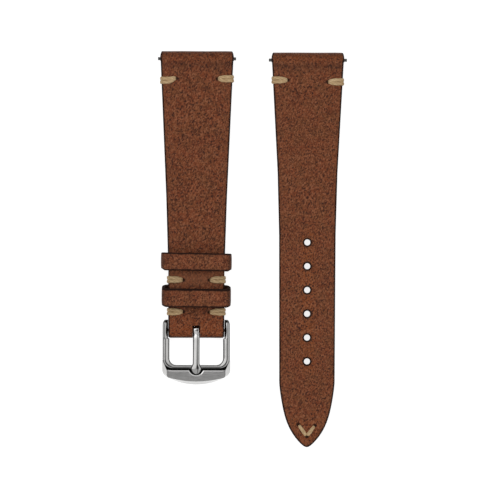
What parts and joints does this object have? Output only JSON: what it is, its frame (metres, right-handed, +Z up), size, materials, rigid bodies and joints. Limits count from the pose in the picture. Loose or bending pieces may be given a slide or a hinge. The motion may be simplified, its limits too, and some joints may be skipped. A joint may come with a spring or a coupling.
{
  "type": "leather watch strap",
  "caption": "Two-piece brown leather watch strap with spring bars, side stitches, fixed and free keepers, tang buckle and a pierced, pointed tail",
  "frame": {"origin": "centre of the bounding box's base, on the surface that both halves lie on", "axes": "+Y along the halves towards their lug ends, +X across from the short half to the long half, +Z up out of the grain side"},
  "size_m": [0.0518, 0.1086, 0.0076],
  "materials": {
    "grain_leather": "satin pull-up",
    "lining_leather": "matte",
    "thread": "waxed",
    "buckle_steel": "polished, plate brushed",
    "tongue_steel": "polished",
    "bar_steel": "satin",
    "spring_steel": "drawn wire"
  },
  "bodies": {
    "strap_halves": {"short_outer_leather": "grain_leather", "short_lining": "lining_leather", "short_lug_stitch_left": "thread", "short_lug_stitch_right": "thread", "keeper_stitch_upper_left": "thread", "keeper_stitch_upper_right": "thread", "keeper_stitch_lower_left": "thread", "keeper_stitch_lower_right": "thread", "fixed_keeper": "grain_leather", "long_outer_leather": "grain_leather", "long_lining": "lining_leather", "long_lug_stitch_left": "thread", "long_lug_stitch_right": "thread", "tip_stitch": "thread"},
    "free_keeper": {"free_keeper": "grain_leather"},
    "buckle_frame": {"buckle_frame": "buckle_steel"},
    "buckle_tongue": {"buckle_tongue": "tongue_steel"},
    "short_lug_bar": {"short_lug_bar_tube": "bar_steel", "short_lug_bar_spring": "spring_steel"},
    "short_lug_bar_tip_left": {"short_lug_bar_tip_left": "bar_steel"},
    "short_lug_bar_tip_right": {"short_lug_bar_tip_right": "bar_steel"},
    "long_lug_bar": {"long_lug_bar_tube": "bar_steel", "long_lug_bar_spring": "spring_steel"},
    "long_lug_bar_tip_left": {"long_lug_bar_tip_left": "bar_steel"},
    "long_lug_bar_tip_right": {"long_lug_bar_tip_right": "bar_steel"},
    "buckle_bar": {"buckle_bar_tube": "bar_steel", "buckle_bar_spring": "spring_steel"},
    "buckle_bar_tip_left": {"buckle_bar_tip_left": "bar_steel"},
    "buckle_bar_tip_right": {"buckle_bar_tip_right": "bar_steel"}
  },
  "joints": [
    {"name": "free_keeper_slide", "type": "slide", "parent": "strap_halves", "child": "free_keeper", "axis": [0, 1, 0], "range_m": [-0.0032, 0.019]},
    {"name": "buckle_hinge", "type": "hinge", "parent": "strap_halves", "child": "buckle_frame", "pos_m": [-0.0152, -0.0223, 0.0021], "axis": [-1, 0, 0], "range_deg": [-75, 15]},
    {"name": "tongue_hinge", "type": "hinge", "parent": "buckle_frame", "child": "buckle_tongue", "pos_m": [-0.0152, -0.0223, 0.0021], "axis": [-1, 0, 0], "range_deg": [0, 90]},
    {"name": "short_lug_bar_turn", "type": "hinge", "parent": "strap_halves", "child": "short_lug_bar", "pos_m": [-0.0152, 0.0522, 0.0021], "axis": [1, 0, 0], "continuous": true},
    {"name": "short_lug_bar_tip_left_press", "type": "slide", "parent": "short_lug_bar", "child": "short_lug_bar_tip_left", "axis": [1, 0, 0], "range_m": [0, 0.0008], "stiffness_N_per_m": 400, "springref_m": -0.0025, "deforming": ["short_lug_bar_spring"]},
    {"name": "short_lug_bar_tip_right_press", "type": "slide", "parent": "short_lug_bar", "child": "short_lug_bar_tip_right", "axis": [-1, 0, 0], "range_m": [0, 0.0008], "stiffness_N_per_m": 400, "springref_m": -0.0025, "deforming": ["short_lug_bar_spring"]},
    {"name": "long_lug_bar_turn", "type": "hinge", "parent": "strap_halves", "child": "long_lug_bar", "pos_m": [0.0152, 0.0519, 0.0021], "axis": [1, 0, 0], "continuous": true},
    {"name": "long_lug_bar_tip_left_press", "type": "slide", "parent": "long_lug_bar", "child": "long_lug_bar_tip_left", "axis": [1, 0, 0], "range_m": [0, 0.0008], "stiffness_N_per_m": 400, "springref_m": -0.0025, "deforming": ["long_lug_bar_spring"]},
    {"name": "long_lug_bar_tip_right_press", "type": "slide", "parent": "long_lug_bar", "child": "long_lug_bar_tip_right", "axis": [-1, 0, 0], "range_m": [0, 0.0008], "stiffness_N_per_m": 400, "springref_m": -0.0025, "deforming": ["long_lug_bar_spring"]},
    {"name": "buckle_bar_turn", "type": "hinge", "parent": "buckle_frame", "child": "buckle_bar", "pos_m": [-0.0152, -0.0223, 0.0021], "axis": [1, 0, 0], "continuous": true},
    {"name": "buckle_bar_tip_left_press", "type": "slide", "parent": "buckle_bar", "child": "buckle_bar_tip_left", "axis": [1, 0, 0], "range_m": [0, 0.0012], "stiffness_N_per_m": 400, "springref_m": -0.0025, "deforming": ["buckle_bar_spring"]},
    {"name": "buckle_bar_tip_right_press", "type": "slide", "parent": "buckle_bar", "child": "buckle_bar_tip_right", "axis": [-1, 0, 0], "range_m": [0, 0.0012], "stiffness_N_per_m": 400, "springref_m": -0.0025, "deforming": ["buckle_bar_spring"]}
  ]
}
